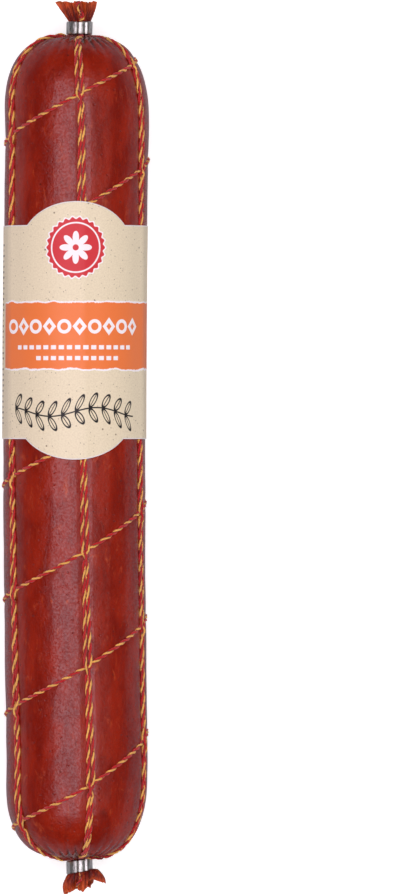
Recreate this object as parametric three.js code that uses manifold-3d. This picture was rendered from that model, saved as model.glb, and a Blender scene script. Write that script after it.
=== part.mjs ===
// A stick of cured sausage: meat stuffed into a fibrous casing, closed at each end by an aluminium
// clip, bound in a net of twine and wrapped with a paper label. It lies on its side.
//
// Frame, in millimetres: +Y runs along the stick to its head end and +Z is up. The origin is on the
// surface that the stick rests on, under the middle of its box. Angles round the stick start at the top
// and turn towards +X.

import * as THREE from 'three';
import { mergeVertices } from 'three/addons/utils/BufferGeometryUtils.js';
import Module from 'manifold-3d';

const { clamp, degToRad, lerp, smoothstep } = THREE.MathUtils;

// ---- The stuffed casing ----
const CALIBRE = 56; // diameter at the head end
const FOOT_CALIBRE = 55; // diameter at the foot end
const BODY_LENGTH = 318.4; // from crown to crown
const DOME_HEIGHT = 28.2; // from a crown down to where the straight side starts
const CROWN_RISE = 3.2; // how far the dome's control point stands over the crown
const CROWN_SPREAD = 0.67; // how far out that control point is, as a share of the radius
const DOME_FULLNESS = 0.71; // how square the dome's shoulder is, as a share of its height
const FLATTENING = 1.3; // how much the underside gives where the stick rests
const BOW = 1.3; // how far the stick bends sideways at the end of its straight side
const FOOT_LEAN = degToRad(9); // tilt of the foot clip and the casing that is gathered in it

// ---- The gathered ends ----
const NECK_RADIUS = 2; // casing squeezed inside a clip
const NECK_FILLET = 1.8; // casing that turns from the crown up into the neck
const CLIP_HEIGHT = 5.1;
const CLIP_SIDE = 1.8; // thickness of its band at the sides
const CLIP_FRONT = 1.6; // and over and under the neck
const CLIP_BEVEL = 0.35;
const CLIP_SEAM = 0.3; // slit between the two closed legs
const CLIP_SEAM_ANGLE = degToRad(-8);
const CLIP_CREASE_ANGLE = degToRad(30);
const CLIP_CREASE_DEPTH = 0.6;
const CLIP_CREASE_SPREAD = degToRad(7);
const CLIP_STEP = degToRad(11); // from point to point of its outline
const TAIL = {
  head: { length: 8, radius: 8, pleats: 9 }, // casing that stands out of the head clip
  foot: { length: 8.6, radius: 8.4, pleats: 7 },
};
const PLEAT_DEPTH = 0.22; // share of a tail's radius
const TAIL_RIM = 1.7; // height of a tail's frayed rim
const TAIL_WALL = 1; // gathered film at the rim
const TAIL_DISH = 3.2; // depth of the hollow in a tail's end
const TAIL_FRAY = 0.7; // how unevenly the rim is torn

// ---- The twine net ----
const TWINE = 1.4; // diameter
const PINCHED_TWINE = 0.7; // diameter inside a clip
const TWINE_SIDES = 6;
const TWINE_PROUD = 0.5; // how far the twine stands out of the casing
const PAIRS = 5; // pairs of lengthwise strands
const FIRST_PAIR = degToRad(8); // at the middle of the stick
const NET_GATHER = degToRad(7.4); // how far the pairs on top are drawn together
const NET_SKEW = degToRad(5.8); // and how much more so on one side
const NET_TWIST = degToRad(4); // how far the net turns from its middle to each end of the straight side
const STRAND_SPREAD = 1; // from the middle of a pair to each strand
const PINCHED_SPREAD = 0.55; // the same inside a clip
const GROOVE_MARGIN = 0.25; // floor of a pair's groove beside its strands
const GROOVE_SLOPE = 2.45; // width of each side of the groove
const SPIRAL_PITCH = 44.4; // along the casing, but for the quicker end
const SPIRAL_END = 1.3; // turns of the quicker end
const SPIRAL_SLANT = 6.9; // how far a turn leans along the stick, to each side of level
const STUB = 1; // rows of a tail's flare that a cut strand reaches, but for the one that ends at the rim

// ---- The label ----
const LABEL_THICKNESS = 0.3;
const LABEL_LOW = 3.1; // edges of its straight band, along the stick
const LABEL_HIGH = 86.2;
const LOBE_LEFT = degToRad(-41.4); // corners of the rounded lobes on the band's two edges
const LOBE_RIGHT = degToRad(43.3);
const HIGH_LOBE = 9.2; // how far each lobe stands over its edge
const LOW_LOBE = 8;
const SEAM_ANGLE = degToRad(-115); // the free end of the paper
const OVERLAP = degToRad(18); // where the two ends are glued together
const SEAM_RAMP = degToRad(8); // where the outer end climbs onto the inner one
const LABEL_COLUMNS = 7; // from pair to pair
const COVER_MARGIN = 3; // the casing and the spiral keep clear this far outside the label
const COVER_RAMP = 3; // and are back in their own place this much further out

const GAP = 0.3; // clearance between pieces that touch
const CASING_COLUMNS = 7; // from pair to pair, two of them on the groove's floor

const RADIUS = CALIBRE / 2;
const FOOT_RADIUS = FOOT_CALIBRE / 2;
const CROWN = BODY_LENGTH / 2;
const SHOULDER = CROWN - DOME_HEIGHT;
const CLIP_INNER = NECK_RADIUS + GAP + PINCHED_TWINE + GAP;
const CLIP_FACE = CROWN + GAP + PINCHED_TWINE + 2 * GAP;
const NECK_END = CLIP_FACE + CLIP_HEIGHT;
const PAIR_STEP = (2 * Math.PI) / PAIRS;
const GROOVE_DEPTH = GAP + TWINE - TWINE_PROUD;
const GROOVE_FLOOR = STRAND_SPREAD + TWINE / 2 + GROOVE_MARGIN; // half the width of the groove's floor
const GROOVE_WIDTH = GROOVE_FLOOR + GROOVE_SLOPE; // half the width of the whole groove
const LABEL_BED = LABEL_THICKNESS + GAP; // room that the label takes under the casing

// Rows of the straight side, from the head end, with the casing's way down under the label and back.
const UNDER_HIGH = LABEL_HIGH + COVER_MARGIN;
const UNDER_LOW = LABEL_LOW - COVER_MARGIN;
const SIDE_ROWS = [
  UNDER_HIGH + COVER_RAMP, UNDER_HIGH, (UNDER_HIGH + UNDER_LOW) / 2, UNDER_LOW, UNDER_LOW - COVER_RAMP,
  -SHOULDER / 3, (-2 * SHOULDER) / 3, -SHOULDER,
];

const wasm = await Module();
wasm.setup();

// ---- Shared geometry ----

// The radius of the straight side, which the domes keep at their ends of it.
function sideRadius(along) {
  return lerp(FOOT_RADIUS, RADIUS, clamp((along + SHOULDER) / (2 * SHOULDER), 0, 1));
}

const WRAPPED_RADIUS = sideRadius(LABEL_HIGH); // the widest casing under the label

// The casing's outline, radius against length, from the head tail's rim to the foot tail's rim.
function skinPath() {
  const crownEdge = NECK_RADIUS + NECK_FILLET;
  const { head, foot } = TAIL;
  const footRim = -NECK_END - foot.length + TAIL_RIM;
  const path = new THREE.Path();
  path.moveTo(head.radius, NECK_END + head.length - TAIL_RIM);
  path.quadraticCurveTo(NECK_RADIUS + 1, NECK_END + head.length / 3, NECK_RADIUS, NECK_END);
  path.lineTo(NECK_RADIUS, CROWN + NECK_FILLET);
  path.quadraticCurveTo(NECK_RADIUS, CROWN, crownEdge, CROWN);
  path.bezierCurveTo(
    RADIUS * CROWN_SPREAD, CROWN + CROWN_RISE,
    RADIUS, SHOULDER + DOME_HEIGHT * DOME_FULLNESS,
    RADIUS, SHOULDER,
  );
  for (const along of SIDE_ROWS) {
    path.lineTo(sideRadius(along), along);
  }
  path.bezierCurveTo(
    FOOT_RADIUS, -SHOULDER - DOME_HEIGHT * DOME_FULLNESS,
    FOOT_RADIUS * CROWN_SPREAD, -CROWN - CROWN_RISE,
    crownEdge, -CROWN,
  );
  path.quadraticCurveTo(NECK_RADIUS, -CROWN, NECK_RADIUS, -CROWN - NECK_FILLET);
  path.lineTo(NECK_RADIUS, -NECK_END);
  path.quadraticCurveTo(NECK_RADIUS + 1, -NECK_END - foot.length / 3, foot.radius, footRim);
  return path;
}

const STEPS = { flare: 3, neck: 1, fillet: 3, dome: 8, side: 1 };

// The outline's rows, which all the pieces on the casing share. Each has its radius, its place along
// the stick, the way out of the casing, the stretch it's on and its length from the head tail's rim.
function outlineRows() {
  const end = ['flare', 'neck', 'fillet', 'dome'];
  const names = [...end, ...SIDE_ROWS.map(() => 'side'), ...end.toReversed()];
  const rows = [];
  skinPath().curves.forEach((curve, i) => {
    const steps = STEPS[names[i]];
    for (let k = i === 0 ? 0 : 1; k <= steps; k++) {
      const { x: radius, y: along } = curve.getPointAt(k / steps);
      const tangent = curve.getTangentAt(k / steps);
      const last = rows.at(-1) ?? { radius, along, length: 0 };
      rows.push({
        radius,
        along,
        outRadius: -tangent.y,
        outAlong: tangent.x,
        stretch: names[i],
        length: last.length + Math.hypot(radius - last.radius, along - last.along),
      });
    }
  });
  return rows;
}

const ROWS = outlineRows();
const OUTLINE_LENGTH = ROWS.at(-1).length;

// A place between two rows, by its length.
function placeAt(length) {
  const after = clamp(ROWS.findIndex((row) => row.length > length), 1, ROWS.length - 1);
  const [a, b] = [ROWS[after - 1], ROWS[after]];
  const share = (length - a.length) / (b.length - a.length);
  const out = new THREE.Vector2(lerp(a.outRadius, b.outRadius, share), lerp(a.outAlong, b.outAlong, share));
  out.normalize();
  return {
    radius: lerp(a.radius, b.radius, share),
    along: lerp(a.along, b.along, share),
    outRadius: out.x,
    outAlong: out.y,
  };
}

// The angle from the nearest pair of strands, from -PAIR_STEP / 2 to PAIR_STEP / 2.
function fromPair(angle) {
  const turned = angle - FIRST_PAIR;
  return turned - PAIR_STEP * Math.round(turned / PAIR_STEP);
}

// How far the net is drawn round the stick, away from where even spacing would have it.
function netDrift(angle, radius, along) {
  const off = angle - FIRST_PAIR;
  const gathered = NET_GATHER * Math.sin(off) + NET_SKEW * (1 - Math.cos(off));
  return (-gathered - NET_TWIST * (along / SHOULDER)) * smoothstep(radius, 8.5, 15);
}

// The real angle of an evenly spaced one, and the other way round.
const netAngle = (angle, radius, along) => angle + netDrift(angle, radius, along);
const evenAngle = (angle, radius, along) => angle - netDrift(angle, radius, along);

const grooveDepth = (radius) => GROOVE_DEPTH * smoothstep(radius, 8.5, 15);
const twineRadius = (radius) => lerp(PINCHED_TWINE, TWINE, smoothstep(radius, 3.5, 8)) / 2;
const strandSpread = (radius) => lerp(PINCHED_SPREAD, STRAND_SPREAD, smoothstep(radius, 3, 8));
const strandLift = (radius) => GAP + twineRadius(radius) - grooveDepth(radius);
const pinchedLift = GAP + PINCHED_TWINE / 2;

// Angles of the groove's floor and edge, which keep their width where the stick narrows.
const floorAngle = (radius) => Math.min(GROOVE_FLOOR / radius, degToRad(11));
const edgeAngle = (radius) => Math.min(GROOVE_WIDTH / radius, degToRad(24));

// The label's edges at an angle: a straight band with a rounded lobe on each edge.
function labelEdges(angle) {
  const middle = (LOBE_LEFT + LOBE_RIGHT) / 2;
  const half = ((LOBE_RIGHT - LOBE_LEFT) / 2) * RADIUS;
  const across = Math.atan2(Math.sin(angle - middle), Math.cos(angle - middle)) * RADIUS;
  const lobe = (rise) => {
    const arc = (half * half + rise * rise) / (2 * rise);
    return Math.abs(across) < half ? Math.sqrt(arc * arc - across * across) - (arc - rise) : 0;
  };
  return { low: LABEL_LOW - lobe(LOW_LOBE), high: LABEL_HIGH + lobe(HIGH_LOBE) };
}

// 1 under the label, 0 away from it.
function cover(angle, along) {
  const { low, high } = labelEdges(angle);
  const inside = Math.min(along - low, high - along) + COVER_MARGIN;
  return smoothstep(inside, -COVER_RAMP, 0);
}

// A point of the stick in the part's frame, bowed, with its foot clip leaning and nothing under floor.
function stickPoint(angle, radius, along, floor = 0) {
  const x = radius * Math.sin(angle);
  const axisHeight = sideRadius(along) - FLATTENING;
  const lean = along < 0 ? x * Math.tan(FOOT_LEAN) * (1 - smoothstep(radius, 5.5, 12)) : 0;
  return new THREE.Vector3(
    x + BOW * (along / SHOULDER) ** 2,
    along + lean,
    Math.max(axisHeight + radius * Math.cos(angle), floor),
  );
}

// A closed body through rings of points, each with as many points as the last, with flat ends.
function loft(rings) {
  const count = rings[0].length;
  const positions = rings.flat().flatMap((p) => [p.x, p.y, p.z]);
  const index = [];
  for (let i = 0; i + 1 < rings.length; i++) {
    for (let k = 0; k < count; k++) {
      const a = i * count + k;
      const b = i * count + ((k + 1) % count);
      index.push(a, b, a + count, b, b + count, a + count);
    }
  }
  const last = (rings.length - 1) * count;
  for (let k = 1; k + 1 < count; k++) {
    index.push(0, k + 1, k, last, last + k, last + k + 1);
  }
  const geometry = new THREE.BufferGeometry();
  geometry.setAttribute('position', new THREE.Float32BufferAttribute(positions, 3));
  geometry.setIndex(index);
  return geometry;
}

// A round strand through stations { point, out, radius }, made fatter by extra.
function strandGeometry(stations, extra = 0) {
  const rings = stations.map(({ out, point, radius }, i) => {
    const before = stations[Math.max(i - 1, 0)].point;
    const after = stations[Math.min(i + 1, stations.length - 1)].point;
    const tangent = after.clone().sub(before).normalize();
    const side = tangent.clone().cross(out).normalize();
    const up = side.clone().cross(tangent);
    return Array.from({ length: TWINE_SIDES }, (_, k) => {
      const turn = (2 * Math.PI * k) / TWINE_SIDES;
      return point.clone()
        .addScaledVector(up, (radius + extra) * Math.cos(turn))
        .addScaledVector(side, (radius + extra) * Math.sin(turn));
    });
  });
  return loft(rings);
}

// A strand's station over the casing, lift above it. The twine's underside stays over the floor.
function station(angle, { radius, along, outRadius, outAlong }, lift, floor = 0) {
  const thickness = twineRadius(radius);
  const centre = radius + lift * outRadius;
  const laid = netAngle(angle, radius, along);
  const point = stickPoint(laid, centre, along + lift * outAlong, floor + thickness);
  const out = new THREE.Vector3(Math.sin(laid) * outRadius, outAlong, Math.cos(laid) * outRadius);
  return { point, out, radius: thickness };
}

function asSolid(geometry) {
  const bare = geometry.clone();
  bare.deleteAttribute('normal');
  bare.deleteAttribute('uv');
  const merged = mergeVertices(bare, 1e-3);
  return new wasm.Manifold(new wasm.Mesh({
    numProp: 3,
    vertProperties: merged.attributes.position.array,
    triVerts: new Uint32Array(merged.index.array),
  }));
}

function asGeometry(solid) {
  const { vertProperties, triVerts } = solid.getMesh();
  const geometry = new THREE.BufferGeometry();
  geometry.setAttribute('position', new THREE.BufferAttribute(vertProperties, 3));
  geometry.setIndex(new THREE.BufferAttribute(triVerts, 1));
  return geometry;
}

// ---- The pieces ----

// The spiral strand: out of the head clip, round the casing and into the foot clip, under each pair.
// It starts and ends halfway between two pairs.
function spiralStations() {
  const neckLength = ROWS[STEPS.flare].length + CLIP_HEIGHT + GAP;
  const travel = OUTLINE_LENGTH - 2 * neckLength;
  const crossings = Math.floor((travel / SPIRAL_PITCH) * PAIRS);
  const allTurns = crossings / PAIRS;
  const start = FIRST_PAIR - PAIR_STEP / 2;
  const end = start - crossings * PAIR_STEP;

  const lengthAt = (angle) => {
    const turns = (start - angle) / (2 * Math.PI);
    const hurry = smoothstep(turns, allTurns - SPIRAL_END, allTurns) * (travel - SPIRAL_PITCH * allTurns);
    const run = neckLength + SPIRAL_PITCH * turns + hurry;
    const slant = SPIRAL_SLANT * smoothstep(Math.min(run, OUTLINE_LENGTH - run), CALIBRE / 3, CALIBRE);
    return run - slant * Math.sin(angle - FIRST_PAIR);
  };
  const onCasing = (angle) => {
    const spot = placeAt(lengthAt(angle));
    const { radius, along } = spot;
    const thickness = twineRadius(radius);
    const covered = cover(netAngle(angle, radius, along), along);
    const proud = lerp(pinchedLift, TWINE_PROUD - thickness, smoothstep(radius, 4, 10));
    const onTop = proud - TWINE_PROUD * covered;
    const under = strandLift(radius) - 2 * thickness - GAP;
    const fromMiddle = Math.abs(fromPair(angle)) * radius;
    const lift = lerp(under, onTop, smoothstep(fromMiddle, GROOVE_FLOOR + GAP / 2, GROOVE_WIDTH + GAP));
    return station(angle, spot, lift, covered * LABEL_BED);
  };
  const inNeck = (row, angle) => station(angle, row, pinchedLift);

  const angles = [];
  for (let i = 0; i < crossings; i++) {
    const crossing = start - (i + 0.5) * PAIR_STEP;
    const { radius } = placeAt(lengthAt(crossing));
    const [floor, edge] = [floorAngle(radius), edgeAngle(radius)];
    const between = (PAIR_STEP / 2 + edge) / 2;
    angles.push(...[PAIR_STEP / 2, between, edge, floor, -floor, -edge, -between].map((a) => crossing + a));
  }
  angles.push(end);
  return [
    ...ROWS.slice(STEPS.flare - STUB, STEPS.flare + 1).map((row) => inNeck(row, start)),
    ...angles.map(onCasing),
    ...ROWS.slice(-STEPS.flare - 1, ROWS.length - STEPS.flare + STUB).map((row) => inNeck(row, end)),
  ];
}

// One lengthwise strand, from its cut end over the head tail to its cut end over the foot tail.
function lengthwiseStations(pairAngle, side, headStub, footStub) {
  const rows = ROWS.slice(STEPS.flare - headStub, ROWS.length - STEPS.flare + footStub);
  return rows.map((row) => {
    const overTail = row.stretch === 'flare';
    const lift = overTail ? pinchedLift : strandLift(row.radius);
    const centre = row.radius + lift * row.outRadius;
    const spread = overTail ? PINCHED_SPREAD : strandSpread(row.radius);
    const made = station(pairAngle + (side * spread) / centre, row, lift);
    return overTail ? { ...made, radius: PINCHED_TWINE / 2 } : made;
  });
}

// The meat and its casing, one grown-together body with a gathered tail at each end, pulled in along
// the pairs of strands. The spiral strand has pressed a groove of its own into it.
function filledCasing(spiral) {
  const dish = ({ radius, length }, way) => [
    [0, NECK_END + length - TAIL_RIM - TAIL_DISH],
    [radius - TAIL_WALL - TAIL_DISH, NECK_END + length - TAIL_DISH],
    [radius - TAIL_WALL, NECK_END + length - TAIL_RIM / 3],
    [radius - TAIL_WALL / 3, NECK_END + length],
  ].map(([r, along]) => ({ radius: r, along: way * along, outRadius: 0, outAlong: 0 }));
  const profile = [...dish(TAIL.head, 1), ...ROWS, ...dish(TAIL.foot, -1).reverse()].reverse();
  const outline = profile.map(({ radius, along }) => new THREE.Vector2(radius, along));
  const geometry = new THREE.LatheGeometry(outline, PAIRS * CASING_COLUMNS);
  const position = geometry.getAttribute('position');
  for (let i = 0; i < position.count; i++) {
    const column = Math.floor(i / profile.length) % (PAIRS * CASING_COLUMNS);
    const { radius, along, outRadius, outAlong } = profile[i % profile.length];
    const [floor, edge] = [floorAngle(radius), edgeAngle(radius)];
    const inLobe = column % CASING_COLUMNS;
    const fromGroove = inLobe < 2
      ? (2 * inLobe - 1) * floor
      : edge + ((PAIR_STEP - 2 * edge) * (inLobe - 2)) / (CASING_COLUMNS - 3);
    const angle = FIRST_PAIR + Math.floor(column / CASING_COLUMNS) * PAIR_STEP + fromGroove;
    const pulled = inLobe < 2 ? grooveDepth(radius) : 0;
    const tail = along > 0 ? TAIL.head : TAIL.foot;
    const beyond = smoothstep(Math.abs(along), NECK_END + 1, NECK_END + tail.length - TAIL_RIM);
    const pleat = PLEAT_DEPTH * beyond * (0.5 - 0.5 * Math.cos(tail.pleats * angle));
    const fray = (radius ? beyond : 0) * TAIL_FRAY * Math.abs(Math.sin(2.5 * angle + 1));
    const laid = netAngle(angle, radius, along);
    const p = stickPoint(
      laid,
      (radius - pulled * outRadius) * (1 - pleat),
      along - pulled * outAlong - fray * Math.sign(along),
      cover(laid, along) * LABEL_BED,
    );
    position.setXYZ(i, p.x, p.y, p.z);
  }
  return asGeometry(asSolid(geometry).subtract(asSolid(strandGeometry(spiral, GAP))));
}

// A closed clip: a flat band bent round the neck until its two legs meet, one of them creased.
function clipGeometry(top) {
  const inner = (angle) => new THREE.Vector2(CLIP_INNER * Math.sin(angle), CLIP_INNER * Math.cos(angle));
  const outer = (angle) => {
    const crease = CLIP_CREASE_DEPTH * Math.exp(-(((angle - CLIP_CREASE_ANGLE) / CLIP_CREASE_SPREAD) ** 2));
    return new THREE.Vector2(
      (CLIP_INNER + CLIP_SIDE - crease) * Math.sin(angle),
      (CLIP_INNER + CLIP_FRONT - crease) * Math.cos(angle),
    );
  };
  const slit = CLIP_SEAM / 2 / CLIP_INNER;
  const [from, to] = [CLIP_SEAM_ANGLE + slit, CLIP_SEAM_ANGLE + 2 * Math.PI - slit];
  const steps = Math.round((to - from) / CLIP_STEP);
  const angles = Array.from({ length: steps + 1 }, (_, i) => lerp(from, to, i / steps));
  const outline = new THREE.Shape([
    ...angles.map(outer),
    ...angles.reverse().map(inner),
  ]);
  const geometry = new THREE.ExtrudeGeometry(outline, {
    depth: CLIP_HEIGHT - 2 * CLIP_BEVEL,
    bevelThickness: CLIP_BEVEL,
    bevelSize: CLIP_BEVEL,
    bevelOffset: -CLIP_BEVEL,
    bevelSegments: 1,
  });
  const position = geometry.getAttribute('position');
  for (let i = 0; i < position.count; i++) {
    const [x, z] = [position.getX(i), position.getY(i)];
    const p = stickPoint(Math.atan2(x, z), Math.hypot(x, z), top - CLIP_BEVEL - position.getZ(i));
    position.setXYZ(i, p.x, p.y, p.z);
  }
  return geometry;
}

// The radius of paper pulled tight over the casing and the pairs of strands.
function tautRadius(angle) {
  const [resting, ridge] = [WRAPPED_RADIUS + GAP, WRAPPED_RADIUS + TWINE_PROUD + GAP];
  const off = Math.abs(fromPair(angle)) - floorAngle(WRAPPED_RADIUS);
  return off <= 0 ? ridge : resting / Math.cos(Math.max(Math.acos(resting / ridge) - off, 0));
}

// The label: one strip of paper round the casing, its outer end glued over its inner end.
function labelGeometry() {
  const start = SEAM_ANGLE - OVERLAP;
  const finish = SEAM_ANGLE + 2 * Math.PI;
  const free = finish - OVERLAP;
  const lying = Math.acos((WRAPPED_RADIUS - FLATTENING) / (WRAPPED_RADIUS + GAP + LABEL_THICKNESS));
  const marks = [start, free - SEAM_RAMP, free, finish];
  for (const angle of [LOBE_LEFT, LOBE_RIGHT, Math.PI - lying, Math.PI + lying]) {
    marks.push(evenAngle(angle, WRAPPED_RADIUS, (LABEL_LOW + LABEL_HIGH) / 2));
  }
  const [floor, edge] = [floorAngle(WRAPPED_RADIUS), edgeAngle(WRAPPED_RADIUS)];
  const perLobe = [-floor, floor];
  for (let k = 0; k <= LABEL_COLUMNS; k++) {
    perLobe.push(edge + ((PAIR_STEP - 2 * edge) * k) / LABEL_COLUMNS);
  }
  for (let pair = -3; pair <= 3; pair++) {
    for (const a of perLobe) {
      const angle = FIRST_PAIR + pair * PAIR_STEP + a;
      if (angle > start && angle < finish && marks.every((m) => Math.abs(m - angle) > degToRad(1.5))) {
        marks.push(angle);
      }
    }
  }
  const rings = marks.sort((a, b) => a - b).map((angle) => {
    const laid = (along) => netAngle(angle, WRAPPED_RADIUS, along);
    const { low } = labelEdges(laid(LABEL_LOW));
    const { high } = labelEdges(laid(LABEL_HIGH));
    const inner = tautRadius(angle) + LABEL_BED * smoothstep(angle, free - SEAM_RAMP, free);
    const rows = [low, (low + high) / 2, high];
    return [
      ...rows.map((along) => stickPoint(laid(along), inner, along, LABEL_THICKNESS)),
      ...rows.reverse().map((along) => stickPoint(laid(along), inner + LABEL_THICKNESS, along)),
    ];
  });
  return loft(rings);
}

// ---- The assembly ----

const MATERIALS = {
  casing: new THREE.MeshStandardMaterial({ color: 0x8a2a1c, roughness: 0.35, metalness: 0 }),
  aluminium: new THREE.MeshStandardMaterial({ color: 0xb9b6b8, roughness: 0.3, metalness: 1 }),
  twine: new THREE.MeshStandardMaterial({ color: 0xc8571f, roughness: 0.9, metalness: 0 }),
  label: new THREE.MeshStandardMaterial({ color: 0xded0b3, roughness: 0.7, metalness: 0 }),
};

function mesh(name, geometry, material) {
  const made = new THREE.Mesh(geometry, material);
  made.name = name;
  return made;
}

function twineNet(spiral) {
  const net = new THREE.Group();
  net.add(mesh('spiral_twine', strandGeometry(spiral), MATERIALS.twine));
  for (let pair = 0; pair < PAIRS; pair++) {
    for (const [side, word] of [[-1, 'left'], [1, 'right']]) {
      const headStub = pair === 0 && side < 0 ? STEPS.flare : STUB;
      const stations = lengthwiseStations(FIRST_PAIR + pair * PAIR_STEP, side, headStub, STUB);
      net.add(mesh(`long_twine_${pair + 1}_${word}`, strandGeometry(stations), MATERIALS.twine));
    }
  }
  return net;
}

const spiral = spiralStations();
const sausage = new THREE.Group();
sausage.add(
  mesh('filled_casing', filledCasing(spiral), MATERIALS.casing),
  mesh('head_clip', clipGeometry(NECK_END), MATERIALS.aluminium),
  mesh('foot_clip', clipGeometry(-CLIP_FACE), MATERIALS.aluminium),
  twineNet(spiral),
  mesh('paper_label', labelGeometry(), MATERIALS.label),
);

// The origin is under the middle of the whole stick.
const middle = new THREE.Box3().setFromObject(sausage).getCenter(new THREE.Vector3());
sausage.position.set(-middle.x, -middle.y, 0);

export default sausage;
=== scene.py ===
"""Dresses a netted and labelled stick of cured sausage round its packed frame."""

import math

import bmesh
import bpy
import numpy as np
from bpy.props import FloatProperty, FloatVectorProperty, IntProperty, PointerProperty
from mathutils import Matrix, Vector, noise


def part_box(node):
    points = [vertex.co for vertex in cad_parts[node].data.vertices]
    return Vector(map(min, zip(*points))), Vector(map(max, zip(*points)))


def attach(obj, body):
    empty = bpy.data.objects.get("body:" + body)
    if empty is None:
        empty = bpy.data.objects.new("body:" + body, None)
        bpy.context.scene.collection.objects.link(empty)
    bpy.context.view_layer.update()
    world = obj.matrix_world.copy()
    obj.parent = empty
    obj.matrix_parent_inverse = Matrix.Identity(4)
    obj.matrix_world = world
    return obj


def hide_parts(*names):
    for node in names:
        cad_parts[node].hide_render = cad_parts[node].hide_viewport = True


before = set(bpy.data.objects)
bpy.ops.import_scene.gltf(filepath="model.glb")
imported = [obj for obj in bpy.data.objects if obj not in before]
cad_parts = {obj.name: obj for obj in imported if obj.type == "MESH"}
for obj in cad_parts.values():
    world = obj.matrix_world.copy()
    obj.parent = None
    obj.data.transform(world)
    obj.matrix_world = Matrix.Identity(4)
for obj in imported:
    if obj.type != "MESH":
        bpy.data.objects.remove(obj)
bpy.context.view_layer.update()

bl_info = {
    "name": "Cured Sausage",
    "version": (1, 0, 0),
    "blender": (4, 5, 0),
    "location": "View3D > Sidebar > Sausage",
    "description": "Makes a netted, clipped and labelled stick of cured sausage",
    "category": "Add Mesh",
}

MM = 0.001
TURN = 2 * math.pi


# ---- Sizes and colours that a user would change ----


def size(name, description, millimetres):
    """A length setting, given in millimetres."""
    return FloatProperty(
        name=name, description=description, default=millimetres * MM, unit="LENGTH", precision=5
    )


def tilt(name, description, degrees):
    """An angle setting, given in degrees."""
    return FloatProperty(
        name=name, description=description, default=math.radians(degrees), subtype="ANGLE"
    )


def plain(name, description, value):
    """A setting that is a plain number."""
    return FloatProperty(name=name, description=description, default=value)


def colour(name, description, red, green, blue):
    """A colour setting, given as screen values from 0 to 255."""
    linear = [
        c / 12.92 if c <= 0.04045 else ((c + 0.055) / 1.055) ** 2.4
        for c in (red / 255, green / 255, blue / 255)
    ]
    return FloatVectorProperty(
        name=name, description=description, default=linear, subtype="COLOR", size=3, min=0, max=1
    )


class CasingSizes(bpy.types.PropertyGroup):
    """The stuffed casing, from clip to clip."""

    calibre: size("Calibre", "Diameter at the head end", 56)
    foot_calibre: size("Foot calibre", "Diameter at the foot end", 55)
    length: size("Length", "From crown to crown", 318.4)
    dome: size("Dome height", "From a crown down to the straight side", 28.2)
    crown_rise: size("Crown rise", "How far the dome swells over the crown", 3.2)
    flattening: size("Flattening", "How much the underside gives where it rests", 1.3)
    bow: size("Bow", "Sideways bend at the end of the straight side", 1.3)
    foot_lean: tilt("Foot lean", "Tilt of the foot clip", 9)
    swing: size("Swing", "How far the domes stand to the left of their clips", 1.2)
    neck: size("Neck radius", "Casing squeezed inside a clip", 2)
    fillet: size("Neck fillet", "Casing that turns up into the neck", 1.8)
    pressed: size("Pressed depth", "How deep the net presses into the casing", 0.5)
    tail: size("Tail length", "Casing that stands out of the head clip", 8.2)
    foot_tail: size("Foot tail length", "Casing that stands out of the foot clip", 8.2)


class NetSizes(bpy.types.PropertyGroup):
    """The twine net that the stick is bound in."""

    twine: size("Twine", "Diameter of the twine", 1.4)
    pinched: size("Pinched twine", "Its diameter inside a clip", 0.7)
    proud: size("Proud", "How far the twine stands out of the casing", 0.5)
    ply: size("Ply", "Diameter of each of its two plies", 0.9)
    long_twist: size("Lengthwise twist", "Length of one turn of the plies, lengthwise", 9)
    round_twist: size("Round twist", "Length of one turn of the plies, round the stick", 6.4)
    step: size("Step", "Distance between the rings of a swept ply", 0.42)
    sides: IntProperty(name="Sides", description="Sides of a swept ply", default=8, min=3)
    pairs: IntProperty(name="Pairs", description="Pairs of lengthwise strands", default=5, min=1)
    first_pair: tilt("First pair", "Angle of the first pair at the middle of the stick", 8)
    gather: tilt("Gather", "How far the pairs on top are drawn together", 7.4)
    skew: tilt("Skew", "How much more so on one side", 5.8)
    turned: tilt("Turned", "How far the net turns from its middle to each end", 4)
    close: size("Close spread", "From a pair's middle to each strand under a crossing", 0.72)
    open: size("Open spread", "The same at the far end of a stretch", 1.34)
    pitch: size("Pitch", "Distance between the turns that run round the stick", 44.4)
    quick_turns: plain("Quick turns", "Turns at the quicker end", 1.3)
    slant: size("Slant", "How far a turn leans to each side of level", 6.9)


class ClipSizes(bpy.types.PropertyGroup):
    """The two closed clips."""

    height: size("Height", "Along the stick", 5.1)
    side: size("Side", "Thickness of the band at the sides", 1.8)
    front: size("Front", "Thickness over and under the neck", 1.6)
    rounding: size("Rounding", "Radius of its edges", 0.45)
    gap: size("Gap", "Room round what the clip holds", 0.3)
    seam: tilt("Seam", "Angle of the slit between its legs", -8)
    crease: tilt("Crease", "Angle of the fold in one leg", 30)


class LabelSizes(bpy.types.PropertyGroup):
    """The paper label that is wrapped round the stick."""

    thickness: size("Thickness", "Of the paper", 0.16)
    low: size("Low edge", "Where its straight band starts", 3.1)
    high: size("High edge", "Where its straight band ends", 86.2)
    lobe_left: tilt("Lobe left", "Left corner of the lobes", -41.4)
    lobe_right: tilt("Lobe right", "Right corner of the lobes", 43.3)
    high_lobe: size("High lobe", "How far it stands over its edge", 9.2)
    low_lobe: size("Low lobe", "How far it stands below its edge", 8)
    seam: tilt("Seam", "Angle of the free end", -115)
    overlap: tilt("Overlap", "Width that is glued together", 18)
    ridge: size("Ridge", "How far the paper is lifted by a pair of strands", 0.5)


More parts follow.
